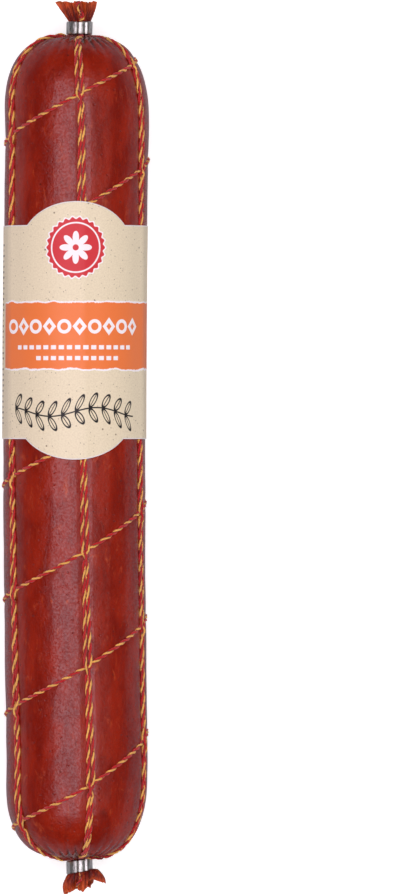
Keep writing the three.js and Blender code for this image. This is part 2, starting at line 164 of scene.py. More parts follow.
class Colours(bpy.types.PropertyGroup):
    """What the pieces are coloured with."""

    meat: colour("Meat", "Smoked casing over lean meat", 120, 18, 3)
    meat_warm: colour("Warm meat", "Where the casing is redder", 144, 30, 8)
    fat: colour("Fat", "Fat that shows through the casing", 192, 78, 40)
    # Besides real pepper and smoke specks, this colour paints shade into the casing's pleats, the
    # tails' folds and hollows, and between the twine's plies.
    speck_and_shade: colour("Speck", "Pepper and smoke specks", 60, 16, 14)
    twine_red: colour("Red ply", "The twine's red ply", 200, 13, 18)
    twine_gold: colour("Gold ply", "The twine's yellow ply", 255, 192, 92)
    film: colour("Film", "Gathered casing in the tails", 112, 18, 5)
    # Also lays a painted highlight on the tails' wrinkle tops and fold ridges.
    film_thin: colour("Thin film", "Gathered casing that lets light through", 216, 88, 30)
    metal: colour("Aluminium", "The clips", 232, 234, 228)
    paper: colour("Paper", "The label's paper", 230, 217, 188)
    band: colour("Band", "The label's torn band", 236, 122, 58)
    seal: colour("Seal", "The label's round seal", 206, 44, 54)
    white: colour("White", "What is printed white", 244, 238, 240)
    ink: colour("Ink", "What is drawn in ink", 26, 24, 26)


class StudioSettings(bpy.types.PropertyGroup):
    """The camera, the lights and the floor."""

    view_height: size("View height", "Length along the stick that the camera takes in", 348.7)
    aside: size("Aside", "How far the camera stands to the stick's right", 50.6)
    lens: plain("Lens", "Focal length in millimetres", 500)
    softbox: plain("Softbox", "Power of the softbox in watts", 11.6)
    side: plain("Side box", "Power of the dimmer box beside it, in watts", 3.6)
    fill: plain("Fill", "Power of the fill light in watts", 17)
    sky: plain("Sky", "Brightness of the surroundings", 0.3)
    mirrored_sky: plain("Mirrored sky", "The same in reflections", 0.03)


# ---- Shape of the stick, which all the pieces follow ----


def smooth(value, low, high):
    """0 below low and 1 above high, with a soft step between them."""
    share = np.clip((np.asarray(value, float) - low) / (high - low), 0.0, 1.0)
    return share * share * (3.0 - 2.0 * share)


def bell(value, width):
    """1 at nothing, falling away over width."""
    return np.exp(-((value / width) ** 2))


def bezier(*controls, steps):
    """Points on a Bezier curve of any degree, without its first one."""
    share = np.linspace(0, 1, steps + 1)[1:, None]
    points = [np.array(c, float) * np.ones_like(share) for c in controls]
    while len(points) > 1:
        points = [(1 - share) * a + share * b for a, b in zip(points, points[1:])]
    return points[0]


class Stick:
    """Where the casing's surface is. Lengths run down its outline from the end of the head neck."""

    STUB = 2.4 * MM  # outline that goes on into each tail
    # Radii between which these fade, from the neck outwards.
    LEANING = (5.5 * MM, 12 * MM)  # out of the foot clip's lean
    SWINGING = (5 * MM, 14 * MM)  # into the domes' swing
    DRAWING = (8.5 * MM, 15 * MM)  # into the drawn net
    THICKENING = (3.5 * MM, 8 * MM)  # from pinched twine to full twine
    FREEING = (4 * MM, 10 * MM)  # from twine in a clip to twine on the casing

    def __init__(self, scene):
        self.casing = scene.sausage_casing
        self.net = scene.sausage_net
        self.clip = scene.sausage_clip
        self.label = scene.sausage_label
        self.crown = self.casing.length / 2
        self.shoulder = self.crown - self.casing.dome
        self.clip_face = self.crown + 3 * self.clip.gap + self.net.pinched
        self.neck_end = self.clip_face + self.clip.height
        self.clip_inner = self.casing.neck + 2 * self.clip.gap + self.net.pinched
        self.in_neck = self.clip.gap + self.net.pinched / 2
        self.pair_step = TURN / self.net.pairs
        self.wrapped = float(self.side_radius(self.label.high))
        low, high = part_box("head_clip")
        bow = self.casing.bow * (self.clip_face / self.shoulder) ** 2
        self.shift = (low.x + self.clip_inner + self.clip.side - bow, high.y - self.neck_end)
        self._lay_outline()
        self._lay_turns()

    def side_radius(self, along):
        """The radius of the straight side."""
        share = np.clip((np.asarray(along, float) + self.shoulder) / (2 * self.shoulder), 0, 1)
        return (self.casing.foot_calibre + (self.casing.calibre - self.casing.foot_calibre) * share) / 2

    def _end(self, radius):
        """One end's outline, from the tail to the shoulder, with lengths counted as positive."""
        neck, fillet, crown = self.casing.neck, self.casing.fillet, self.crown
        start = np.array([[neck + 0.4 * MM, self.neck_end + self.STUB], [neck, self.neck_end]])
        parts = [
            start,
            [[neck, crown + fillet]],
            bezier((neck, crown + fillet), (neck, crown), (neck + fillet, crown), steps=24),
            bezier(
                (neck + fillet, crown),
                (0.67 * radius, crown + self.casing.crown_rise),
                (radius, self.shoulder + 0.71 * self.casing.dome),
                (radius, self.shoulder),
                steps=240,
            ),
        ]
        return np.concatenate(parts)

    def _lay_outline(self):
        head = self._end(self.casing.calibre / 2)
        foot = self._end(self.casing.foot_calibre / 2)[::-1] * (1, -1)
        points = np.concatenate([head, foot])
        steps = np.hypot(*np.diff(points, axis=0).T)
        self.lengths = np.concatenate([[0], np.cumsum(steps)]) - steps[0]
        self.total = self.lengths[-2]
        tangent = np.gradient(points, self.lengths, axis=0)
        tangent /= np.hypot(*tangent.T)[:, None]
        self.table = np.column_stack([points, -tangent[:, 1], tangent[:, 0]])

    def at(self, length):
        """Radius, place along the stick and the way out, at a length down the outline."""
        return [np.interp(length, self.lengths, column) for column in self.table.T]

    def place(self, angle, radius, along, floor=0.0):
        """Points in the frame, with the bow, the lean, the swung domes and the flat underside."""
        x = radius * np.sin(angle)
        past = smooth(np.abs(along), self.shoulder - 12 * MM, self.shoulder + 22 * MM)
        swung = self.casing.swing * past * smooth(radius, *self.SWINGING)
        held = 1 - smooth(radius, *self.LEANING)
        lean = np.where(along < 0, x * math.tan(self.casing.foot_lean) * held, 0)
        height = self.side_radius(along) - self.casing.flattening + radius * np.cos(angle)
        points = np.broadcast_arrays(
            x + self.casing.bow * (along / self.shoulder) ** 2 - swung + self.shift[0],
            along + lean + self.shift[1],
            np.maximum(height, floor),
        )
        return np.stack(points, axis=-1)

    def net_drift(self, angle, radius, along):
        """How far the net is drawn round the stick, away from even spacing."""
        off = angle - self.net.first_pair
        gathered = self.net.gather * np.sin(off) + self.net.skew * (1 - np.cos(off))
        drawn = -gathered - self.net.turned * along / self.shoulder
        return drawn * smooth(radius, *self.DRAWING)

    def lifted(self, angle, length, lift, floor=0.0):
        """Points at a distance out of the casing, at an evenly spaced angle of the net."""
        radius, along, out_radius, out_along = self.at(length)
        laid = angle + self.net_drift(angle, radius, along)
        return self.place(laid, radius + lift * out_radius, along + lift * out_along, floor)

    def from_pair(self, angle):
        """The angle from the nearest pair of strands."""
        turned = angle - self.net.first_pair
        return turned - self.pair_step * np.round(turned / self.pair_step)

    def _lay_turns(self):
        """The start, the end and the number of turns of the twine that runs round the stick."""
        self.turn_start = self.net.first_pair - self.pair_step / 2
        self.turn_in = self.clip.height + self.clip.gap
        self.travel = self.total - 2 * self.turn_in
        crossings = math.floor(self.travel / self.net.pitch * self.net.pairs)
        self.all_turns = crossings / self.net.pairs
        self.turn_end = self.turn_start - self.all_turns * TURN

    def turn_length(self, angle):
        """How far down the outline the round twine is at an angle that counts its turns."""
        turns = (self.turn_start - angle) / TURN
        left = self.travel - self.net.pitch * self.all_turns
        hurry = smooth(turns, self.all_turns - self.net.quick_turns, self.all_turns) * left
        run = self.turn_in + self.net.pitch * turns + hurry
        nearest = np.minimum(run, self.total - run)
        slant = self.net.slant * smooth(nearest, self.casing.calibre / 3, self.casing.calibre)
        return run - slant * np.sin(angle - self.net.first_pair)

    def turns_at(self, angle):
        """The lengths at which the round twine passes an angle, as rows, and nan where it doesn't."""
        whole = math.ceil(self.all_turns) + 1
        first = self.turn_start - np.mod(self.turn_start - np.asarray(angle, float), TURN)
        angles = first - TURN * np.arange(whole).reshape(-1, *[1] * np.ndim(angle))
        return np.where(angles >= self.turn_end, self.turn_length(angles), np.nan)

    def label_edges(self, angle):
        """The label's low and high edge at an angle: a straight band with a lobe on each side."""
        middle = (self.label.lobe_left + self.label.lobe_right) / 2
        reach = self.casing.calibre / 2
        half = (self.label.lobe_right - self.label.lobe_left) / 2 * reach
        across = np.arctan2(np.sin(angle - middle), np.cos(angle - middle)) * reach

        def lobe(rise):
            arc = (half * half + rise * rise) / (2 * rise)
            inside = np.sqrt(np.maximum(arc * arc - across * across, 0)) - (arc - rise)
            return np.where(np.abs(across) < half, inside, 0)

        return self.label.low - lobe(self.label.low_lobe), self.label.high + lobe(self.label.high_lobe)

    def cover(self, angle, along):
        """1 under the label and 0 away from it."""
        low, high = self.label_edges(angle)
        return smooth(np.minimum(along - low, high - along), -1.5 * MM, 1.5 * MM)

    def twine_share(self, radius):
        """The twine's thickness where the stick has this radius, as a share of its own."""
        pinched = self.net.pinched / self.net.twine
        return pinched + (1 - pinched) * smooth(radius, *self.THICKENING)

    def resting(self, radius):
        """How far the middle of the twine lies out of the casing, in a clip and on the stick."""
        free = smooth(radius, *self.FREEING)
        return self.in_neck * (1 - free) + (self.net.proud - self.net.twine / 2) * free

    def under_label(self, angle, radius, along):
        """1 where the label covers an evenly spaced angle of the net, and 0 away from it."""
        return self.cover(angle + self.net_drift(angle, radius, along), along)


# ---- Meshes ----


def grid_faces(rows, columns, closed, start=0):
    """Quads over a grid of points. They point out where rows run to the foot and columns to +X."""
    across = columns if closed else columns - 1
    row, column = np.meshgrid(np.arange(rows - 1), np.arange(across), indexing="ij")
    a = start + row * columns + column
    b = start + row * columns + (column + 1) % columns
    return np.stack([a, a + columns, b + columns, b], axis=-1).reshape(-1, 4).tolist()


def closed_mesh(name, points, faces):
    """A smooth mesh of a closed body, with its faces pointing out."""
    mesh = bpy.data.meshes.new(name)
    mesh.from_pydata(np.asarray(points).tolist(), [], faces)
    shell = bmesh.new()
    shell.from_mesh(mesh)
    bmesh.ops.recalc_face_normals(shell, faces=shell.faces)
    shell.to_mesh(mesh)
    shell.free()
    mesh.shade_smooth()
    return mesh


def tube_mesh(name, rings):
    """A closed body through rings of points, with a pole in the middle of its first and last ring."""
    rings = np.asarray(rings)
    rows, columns = rings.shape[:2]
    poles = [rings[0].mean(axis=0), rings[-1].mean(axis=0)]
    points = np.concatenate([rings.reshape(-1, 3), poles])
    first, last = rows * columns, rows * columns + 1
    faces = grid_faces(rows, columns, True)
    for k in range(columns):
        after = (k + 1) % columns
        faces.append([first, k, after])
        faces.append([last, first - columns + after, first - columns + k])
    return closed_mesh(name, points, faces)


def mark(mesh, word, values):
    """Stores a value for each point of a mesh, for its finish to read."""
    mesh.attributes.new(word, "FLOAT", "POINT").data.foreach_set("value", values)


def put(name, data):
    """A new object in the scene."""
    thing = bpy.data.objects.new(name, data)
    bpy.context.scene.collection.objects.link(thing)
    return thing


def add_piece(name, mesh, material, slot, *nodes):
    """Puts a finished mesh in the scene, as the piece that stands for these nodes."""
    if material is not None:
        mesh.materials.append(material)
    piece = put(name, mesh)
    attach(piece, "root")
    if nodes:
        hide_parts(*nodes)
    return piece


def ripple(points, scale, seed):
    """Smooth random values from -1 to 1 at points, one lump for each 1 / scale."""
    away = Vector((seed, 2 * seed, 3 * seed))
    flat = np.asarray(points).reshape(-1, 3) * scale
    values = [noise.noise(Vector(p) + away) for p in flat.tolist()]
    return np.array(values).reshape(np.shape(points)[:-1])


# ---- Node trees ----


class Value:
    """What a node gives. Python's operators on it add Math nodes to its tree."""

    def __init__(self, nodes, socket):
        self.nodes = nodes
        self.socket = socket

    def math(self, operation, *others):
        return self.nodes.math(operation, self, *others)

    def __add__(self, other):
        return self.math("ADD", other)

    __radd__ = __add__

    def __sub__(self, other):
        return self.math("SUBTRACT", other)

    def __rsub__(self, other):
        return self.nodes.math("SUBTRACT", other, self)

    def __mul__(self, other):
        return self.math("MULTIPLY", other)

    __rmul__ = __mul__

    def __truediv__(self, other):
        return self.math("DIVIDE", other)

    def __rtruediv__(self, other):
        return self.nodes.math("DIVIDE", other, self)

    def __mod__(self, other):
        return self.math("FLOORED_MODULO", other)

    def __abs__(self):
        return self.math("ABSOLUTE")

    def __pow__(self, other):
        return self.math("POWER", other)

    def fade(self, low, high):
        """0 at low and 1 at high, with a soft step between them. Low may be the higher one."""
        return self.nodes.add(
            "ShaderNodeMapRange",
            {"interpolation_type": "SMOOTHSTEP"},
            {"Value": self, "From Min": low, "From Max": high},
        )


class Nodes:
    """Builds a node tree."""

    def __init__(self, tree):
        self.tree = tree

    def add(self, kind, settings=None, inputs=None, output=0):
        """Adds a node: its settings first, then the values or links of its sockets."""
        node = self.tree.nodes.new(kind)
        for name, setting in (settings or {}).items():
            setattr(node, name, setting)
        for name, given in (inputs or {}).items():
            self.give(node.inputs[name], given)
        return Value(self, node.outputs[output])

    def give(self, socket, given):
        """Links a value to a socket, or sets the socket to plain numbers."""
        if isinstance(given, Value):
            self.tree.links.new(given.socket, socket)
        elif socket.type == "RGBA" and len(given) == 3:
            socket.default_value = (*given, 1)
        else:
            socket.default_value = given

    def math(self, operation, *values):
        return self.add("ShaderNodeMath", {"operation": operation}, dict(enumerate(values)))

    def vector_math(self, operation, *values, output=0):
        return self.add(
            "ShaderNodeVectorMath", {"operation": operation}, dict(enumerate(values)), output
        )

    def scaled(self, vector, factor):
        return self.add("ShaderNodeVectorMath", {"operation": "SCALE"}, {0: vector, "Scale": factor})

    def vector(self, x, y, z):
        return self.add("ShaderNodeCombineXYZ", None, {"X": x, "Y": y, "Z": z})

    def store(self, geometry, name, value, kind="FLOAT"):
        """Stores a value on each point of a geometry."""
        settings = {"data_type": kind, "domain": "POINT"}
        inputs = {"Geometry": geometry, "Name": name, "Value": value}
        return self.add("GeometryNodeStoreNamedAttribute", settings, inputs)

    def blend(self, share, below, above):
        """One colour over another, as far as share says."""
        return self.add(
            "ShaderNodeMix", {"data_type": "RGBA"}, {0: share, 6: below, 7: above}, output=2
        )


class Finish(Nodes):
    """A material whose shader takes plain numbers at once and changing values by link."""

    def __init__(self, name, **constants):
        self.material = bpy.data.materials.new(name)
        self.material.use_nodes = True
        super().__init__(self.material.node_tree)
        self.shader = self.tree.nodes["Principled BSDF"]
        for word, number in constants.items():
            self.give(self.shader.inputs[word.replace("_", " ").title().replace("Ior", "IOR")], number)

    def here(self, stretch=(1, 1, 1)):
        """The place on the piece in millimetres, stretched."""
        where = self.add("ShaderNodeTexCoord", output="Object")
        return self.vector_math("MULTIPLY", where, [s / MM for s in stretch])

    def cloud(self, where, lump, detail=2.0, roughness=0.5, distortion=0.0):
        """Smooth noise from 0 to 1 with lumps of a size in millimetres."""
        inputs = {"Vector": where, "Scale": 1 / lump, "Detail": detail}
        inputs.update({"Roughness": roughness, "Distortion": distortion})
        return self.add("ShaderNodeTexNoise", None, inputs)

    def cells(self, where, spacing, output="Distance"):
        """The distance to the nearest of scattered points, in shares of their spacing."""
        inputs = {"Vector": where, "Scale": 1 / spacing}
        return self.add("ShaderNodeTexVoronoi", None, inputs, output)

    def spots(self, where, spacing, rim, drawn):
        """Spots round scattered points, faded over their rim, with some of them left out."""
        tint = self.cells(where, spacing, "Color")
        chance = self.add("ShaderNodeSeparateColor", None, {"Color": tint})
        return self.cells(where, spacing).fade(*rim) * chance.fade(*drawn)

    def attribute(self, name):
        return self.add("ShaderNodeAttribute", {"attribute_name": name}, output="Fac")

    def wear(self, **links):
        """Links what changes over the surface to the shader."""
        for word, value in links.items():
            self.give(self.shader.inputs[word.replace("_", " ").title()], value)
        return self.material

    def bump(self, height, depth, base=None):
        """A normal from a height of 0 to 1 that stands for this depth in millimetres."""
        inputs = {"Height": height, "Distance": depth * MM, "Strength": 1.0}
        if base is not None:
            inputs["Normal"] = base
        return self.add("ShaderNodeBump", None, inputs)


# ---- Finishes ----

SCUFF = (0.06, 0.06, 0.06)  # grime in the scuffs of a clip
PULP = (0.6, 0.5, 0.34)  # darker fibres in the paper
BRAN = (0.13, 0.07, 0.035)  # husks in the paper


def casing_finish(colours):
    """Smoked casing drawn tight over lean meat and fat, with a skin's gloss and painted shade in the
    pleat valleys near its clips.
    """
    f = Finish("smoked_casing", specular_ior_level=0.42, coat_roughness=0.1, ior=1.45)
    here = f.here()
    along = f.here((1, 0.4, 1))
    shade = f.cloud(along, 9, 5, 0.62, 0.4)
    lean = f.blend(shade.fade(0.36, 0.66), colours.meat, colours.meat_warm)
    fleck = f.cloud(along, 2.6, 5, 0.66, 0.9).fade(0.54, 0.76)
    patch = f.cloud(here, 9, 2).fade(0.46, 0.68)
    streak = f.cloud(f.here((1.6, 0.26, 1.6)), 1.6, 4, 0.65, 0.9).fade(0.55, 0.72)
    fatty = f.blend(fleck * patch * 0.75 + streak * 0.18, lean, colours.fat)
    pepper = f.spots(here, 6.5, (0.085, 0.03), (0.5, 0.55))
    smoke = f.cloud(along, 3.4, 5, 0.68).fade(0.56, 0.78)
    pit = f.spots(here, 2.6, (0.24, 0.06), (0.4, 0.8))
    # Painted shade: the pleat valleys near the clips are darkened towards the speck colour, along with
    # pepper, smoke specks and darker pits.
    crease_shade = f.attribute("crease").fade(0.06, 0.6)
    dark = (pepper * 0.75 + smoke * 0.4 + pit * 0.3).math("MAXIMUM", crease_shade * 0.85)
    specked_and_shaded = f.blend(dark, fatty, colours.speck_and_shade)
    grain = f.cloud(here, 0.9, 4, 0.7)
    lumps = f.cloud(here, 5, 3, 0.55)
    crinkle = f.cloud(f.here((1, 0.35, 1)), 2.2, 3, 0.6, 0.5)
    soft = f.bump(lumps, 0.5)
    relief = f.bump(grain * 0.5 + crinkle * 0.45 - pit * 0.5, 0.38, soft)
    gloss = 0.12 + grain * 0.12 + fleck * 0.05
    glint = grain.fade(0.4, 0.62) * 0.85 + patch * 0.1
    return f.wear(base_color=specked_and_shaded, roughness=gloss, coat_weight=glint, normal=relief)


def film_finish(colours):
    """The same casing gathered in a tail, where light comes through it, with painted highlights on its
    ridges and painted shade in its folds and hollow.
    """
    f = Finish("gathered_film", specular_ior_level=0.42, subsurface_weight=0.2, ior=1.45)
    f.give(f.shader.inputs["Subsurface Radius"], (1.2, 0.4, 0.2))
    f.give(f.shader.inputs["Subsurface Scale"], 0.0016)
    thin = f.attribute("thin")
    wrinkle = f.cloud(f.here((2.2, 0.45, 2.2)), 1.6, 4, 0.65, 0.4)
    crease = f.attribute("crease")
    # Paler towards the rim, and a painted highlight on wrinkle tops and fold ridges, laid in the thin
    # film colour.
    clear_and_highlit = thin.fade(0.3, 1.1) * 0.6 + wrinkle.fade(0.5, 0.72) * 0.5 + crease.fade(0.35, 0.0) * 0.3
    tone_and_highlight = f.blend(clear_and_highlit, colours.film, colours.film_thin)
    shadow = (wrinkle.fade(0.5, 0.3) * 0.6).math("MAXIMUM", crease.fade(0.5, 1.05) * 0.9)
    dark = f.blend(shadow, tone_and_highlight, colours.speck_and_shade)
    return f.wear(base_color=dark, roughness=0.24 + wrinkle * 0.2, normal=f.bump(wrinkle, 0.65))


def twine_finish(colours):
    """Cotton twine of a red and a yellow ply."""
    f = Finish("two_ply_twine", specular_ior_level=0.25, sheen_weight=0.25, sheen_roughness=0.5)
    run = f.attribute("run") / MM
    round_ply = f.attribute("round") * TURN
    where = f.vector(run * 0.5 + round_ply * 0.12, round_ply.math("COSINE"), round_ply.math("SINE"))
    fibre = f.cloud(where, 0.32, 4, 0.7, 0.3)
    patchy = f.cloud(f.here(), 0.75, 3, 0.6)
    outside = f.attribute("outside")
    ragged = outside + (fibre - 0.5) * 0.7 + (patchy - 0.5) * 1.2
    ply = f.attribute("ply").math("GREATER_THAN", 0.5) * ragged.fade(0.52, 0.62)
    dyed = f.blend(ply, colours.twine_red, colours.twine_gold)
    shadow = (fibre.fade(0.48, 0.25) * 0.6).math("MAXIMUM", outside.fade(0.55, 0.3) * 0.85)
    shaded = f.blend(shadow, dyed, colours.speck_and_shade)
    return f.wear(base_color=shaded, roughness=0.7 + fibre * 0.2, normal=f.bump(fibre, 0.45))


def metal_finish(colours):
    """Pressed aluminium, brushed and scuffed."""
    f = Finish("pressed_aluminium", metallic=1.0)
    brushed = f.cloud(f.here((1.2, 7, 1.2)), 1.4, 4, 0.7)
    scuff = f.cloud(f.here((3, 0.6, 3)), 2.0, 4, 0.7, 1.2)
    dents = f.cloud(f.here(), 1.6, 2)
    worn = scuff.fade(0.52, 0.7) * 0.85 + brushed * 0.1
    dull = f.blend(worn, colours.metal, SCUFF)
    relief = f.bump(dents * 0.75 + brushed * 0.25, 0.26)
    return f.wear(base_color=dull, roughness=0.22 + scuff * 0.25, normal=relief)


def between(value, low, high, soft=0.12):
    """1 from low to high, with a soft edge at each."""
    return value.fade(low - soft, low + soft) * value.fade(high + soft, high - soft)


def border_print(x, y):
    """A row of rings and lozenges, and two lines of dashes below it."""
    spacing = 6.04
    place = (x + 31.0) / spacing
    number = place.math("FLOOR")
    across = (place - number - 0.5) * spacing
    up = y - 46.8
    odd = number % 2
    ring = abs((across * across + up * up).math("SQRT") - 2.15).fade(0.75, 0.58)
    reach = abs(across) * 1.25 + abs(up)
    lozenge = reach.fade(3.6, 3.4) * reach.fade(1.3, 1.5)
    marks = (ring * (1 - odd) + lozenge * odd) * between(x, -31, 29.4)
    dash = between((x / 3.2) % 1, 0.14, 0.8, 0.04)
    upper = between(y, 37.9, 39.5) * between(x, -25.6, 25.6)
    lower = between(y, 33.7, 35.3) * between(x, -16, 19.2)
    return marks.math("MAXIMUM", (upper + lower) * dash)


def seal_print(x, y, colours):
    """A round seal with a scalloped edge, a ring and a rosette."""
    far = (x * x + y * y).math("SQRT")
    turn = y.math("ARCTAN2", x)
    scallops = far - (turn * 26).math("COSINE") * 0.42
    petals = (far - abs((turn * 4).math("COSINE")) * 3.4).fade(3.1, 2.85)
    rosette = petals * far.fade(1.1, 1.3)
    return (
        (scallops.fade(12.1, 11.9), colours.white),
        (scallops.fade(11.5, 11.3), colours.seal),
        (between(far, 9.3, 9.9).math("MAXIMUM", rosette), colours.white),
    )


def sprig_print(x, y):
    """A sprig of herb: a waving stem, with veined leaves on both sides of it."""
    apart = 5.4
    wave = (x * 0.17).math("SINE") * 1.7 + 13.6
    off = y - wave
    stem = abs(off).fade(0.36, 0.2)
    step = (x + 27.0) / apart
    local = (step - step.math("FLOOR") - 0.45) * apart
    high = abs(off) - 2.9
    leaning_x = local * 0.5 + high * 0.866
    leaning_y = high * 0.5 - local * 0.866
    leaf = ((leaning_x / 3.0) ** 2 + (leaning_y / 1.15) ** 2).math("SQRT")
    outline = abs(leaf - 0.95).fade(0.24, 0.12)
    vein = abs(leaning_y).fade(0.22, 0.1) * leaf.fade(0.8, 0.7)
    drawn = stem.math("MAXIMUM", outline.math("MAXIMUM", vein)) * between(x, -26.6, 27.1)
    return drawn * between(y, 4.5, 24)


def panel_print(f, x, y):
    """Plain bars on the panel at the side."""
    row = y / 2.1
    bar = between(row % 1, 0.25, 0.62, 0.06)
    broken = f.cloud(f.vector(x * 0.55, row.math("FLOOR") * 3.7, 9.0), 1, 1).fade(0.44, 0.48)
    panel = between(x, -62, -38.5) * between(y, 9, 80)
    return bar * broken * panel * 0.8


def label_finish(colours):
    """Speckled cream paper, printed with a torn-edged band, a seal and a sprig."""
    f = Finish("printed_paper", specular_ior_level=0.4, coat_roughness=0.4, ior=1.4)
    spread = f.add("ShaderNodeUVMap", {"uv_map": "Print"})
    paper = f.vector_math("MULTIPLY", spread, (100, 100, 0))
    x = f.add("ShaderNodeSeparateXYZ", None, {0: paper}, "X")
    y = f.add("ShaderNodeSeparateXYZ", None, {0: paper}, "Y")

    # The paper and the specks in it.
    fibre = f.cloud(paper, 0.7, 3, 0.6)
    mottled = f.blend(fibre.fade(0.35, 0.7) * 0.4, colours.paper, PULP)
    fine = f.spots(paper, 1.4, (0.21, 0.1), (0.5, 0.62))
    large = f.cells(paper, 6.1).fade(0.08, 0.04)
    base = f.blend(fine * 0.6 + large * 0.8, mottled, BRAN)

    # The band, torn along both edges, with a white rim of bare paper.
    rough = (f.cloud(paper, 5.5, 1) - 0.5) * 2.0 + (f.cloud(paper, 0.8, 2) - 0.5) * 0.7
    inside = (y - 30.4 + rough).math("MINIMUM", 56.0 - y + rough)
    length = between(x, -35.8, 96)

    edge = f.attribute("edge") / MM
    for printed, ink in (
        (inside.fade(-0.75, -0.6) * length, colours.white),
        (inside.fade(-0.08, 0.08) * length, colours.band),
        (border_print(x, y), colours.white),
        *seal_print(x - 0.4, y - 77.4, colours),
        (sprig_print(x, y), colours.ink),
        (panel_print(f, x, y), colours.ink),
        (edge.fade(0.55, 0.3) * 0.85, colours.white),
    ):
        base = f.blend(printed, base, ink)
    return f.wear(
        base_color=base,
        roughness=0.5 + fibre * 0.14,
        coat_weight=0.35 + inside.fade(-0.05, 0.1) * length * 0.15,
        normal=f.bump(fibre, 0.03),
    )


# ---- Twine ----

LUMP_SCALE = 600.0  # lumps along a ply, for each metre
FUZZ_SCALE = 1400.0  # tufts of fibre on it, for each metre
UNDER_PAPER = 0.3 * MM  # room left for the label under the twine, where the stick rests
RUN_ON = 1.6 * MM  # twine that goes on past each end of the outline
CROSSING = 2.4 * MM  # from a turn of the round twine to the crossing after it
OPENING = (2.4 * MM, 2.8 * MM)  # over which a pair opens after a crossing and closes before the next
CLOSED = 0.4 * MM  # from a pair's middle to each strand inside a clip
ROUTE_STEP = 0.5 * MM  # between the points of a lengthwise strand
TURN_POINTS = 350  # points on each turn of the round twine


def twine_tree():
    """Sweeps a red and a yellow ply round each other along any path."""
    tree = bpy.data.node_groups.new("Two-ply twine", "GeometryNodeTree")
    sockets = {"Path": "Geometry", "Sides": "Int", "Finish": "Material"}
    sockets.update(dict.fromkeys(("Ply", "Twist", "Phase", "Step"), "Float"))
    for name, kind in sockets.items():
        tree.interface.new_socket(name=name, in_out="INPUT", socket_type="NodeSocket" + kind)
    tree.interface.new_socket(name="Twine", in_out="OUTPUT", socket_type="NodeSocketGeometry")
    n = Nodes(tree)

    def given(name):
        return n.add("NodeGroupInput", output=name)

    inputs = {"Curve": given("Path"), "Length": given("Step")}
    path = n.add("GeometryNodeResampleCurve", {"mode": "LENGTH"}, inputs)
    run = n.add("GeometryNodeSplineParameter", output="Length")
    thick = n.add("GeometryNodeInputRadius")
    position = n.add("GeometryNodeInputPosition")
    path = n.store(n.store(path, "run", run), "middle", position, "FLOAT_VECTOR")
    inputs = {"Resolution": given("Sides"), "Radius": given("Ply") / 2}
    ring = n.add("GeometryNodeCurvePrimitiveCircle", {"mode": "RADIUS"}, inputs)
    ring = n.store(ring, "round", n.add("GeometryNodeSplineParameter", output="Factor"))
    normal = n.add("GeometryNodeInputNormal")
    tangent = n.add("GeometryNodeInputTangent")
    sideways = n.vector_math("CROSS_PRODUCT", tangent, normal)
    plies = n.add("GeometryNodeJoinGeometry")
    joined = plies.socket.node.inputs["Geometry"]
    for number in (0, 1):
        turned = run / given("Twist") * TURN + math.pi * number + given("Phase")
        reach = given("Ply") * 0.4 * thick
        place = n.vector(run * LUMP_SCALE, given("Phase") + number * 9.0, 0.0)
        lumpy = n.add("ShaderNodeTexNoise", None, {"Vector": place, "Scale": 1.0})
        fat = thick * (0.66 + lumpy * 0.66) * (1.08 - 0.14 * number)
        level = n.scaled(normal, turned.math("COSINE") * reach)
        upright = n.scaled(sideways, turned.math("SINE") * reach)
        offset = n.vector_math("ADD", level, upright)
        moved = n.add("GeometryNodeSetPosition", None, {"Geometry": path, "Offset": offset})
        inputs = {"Curve": moved, "Profile Curve": ring, "Scale": fat, "Fill Caps": True}
        swept = n.add("GeometryNodeCurveToMesh", None, inputs)
        inputs = {"Vector": position, "Scale": FUZZ_SCALE, "Detail": 1.0}
        fuzz = n.add("ShaderNodeTexNoise", None, inputs)
        outward = n.scaled(normal, (fuzz - 0.5) * given("Ply") * 0.55)
        swept = n.add("GeometryNodeSetPosition", None, {"Geometry": swept, "Offset": outward})
        settings = {"data_type": "FLOAT_VECTOR"}
        middle = n.add("GeometryNodeInputNamedAttribute", settings, {"Name": "middle"})
        away = n.vector_math("DISTANCE", position, middle, output="Value")
        marked = n.store(n.store(swept, "ply", float(number)), "outside", away / given("Ply"))
        marked = n.add("GeometryNodeRemoveAttribute", None, {"Geometry": marked, "Name": "middle"})
        tree.links.new(marked.socket, joined)
    smoothed = n.add("GeometryNodeSetShadeSmooth", None, {"Geometry": plies})
    real = n.add("GeometryNodeRealizeInstances", None, {"Geometry": smoothed})
    done = n.add("GeometryNodeSetMaterial", None, {"Geometry": real, "Material": given("Finish")})
    out = tree.nodes.new("NodeGroupOutput")
    tree.links.new(done.socket, out.inputs["Twine"])
    return tree


def twine_piece(kit, name, points, shares, twist, phase, *nodes):
    """A piece of twine along points, as thick at each as its share of the whole."""
    net, tree, finish = kit
    path = bpy.data.curves.new(name + "_path", "CURVE")
    path.dimensions = "3D"
    spline = path.splines.new("POLY")
    spline.points.add(len(points) - 1)
    spline.points.foreach_set("co", np.column_stack([points, np.ones(len(points))]).ravel())
    spline.points.foreach_set("radius", np.asarray(shares, float))
    carrier = put(name + "_path", path)
    sweep = carrier.modifiers.new("Two-ply twine", "NODES")
    sweep.node_group = tree
    settings = {
        "Ply": net.ply,
        "Twist": twist,
        "Phase": phase,
        "Step": net.step,
        "Sides": net.sides,
        "Finish": finish,
    }
    for socket in tree.interface.items_tree:
        if socket.in_out == "INPUT" and socket.name in settings:
            sweep[socket.identifier] = settings[socket.name]
    graph = bpy.context.evaluated_depsgraph_get()
    mesh = bpy.data.meshes.new_from_object(carrier.evaluated_get(graph))
    bpy.data.objects.remove(carrier)
    bpy.data.curves.remove(path)
    if not mesh.polygons:
        raise RuntimeError(f"the twine {name} came out empty")
    return add_piece(name, mesh, None, "twine", *nodes)


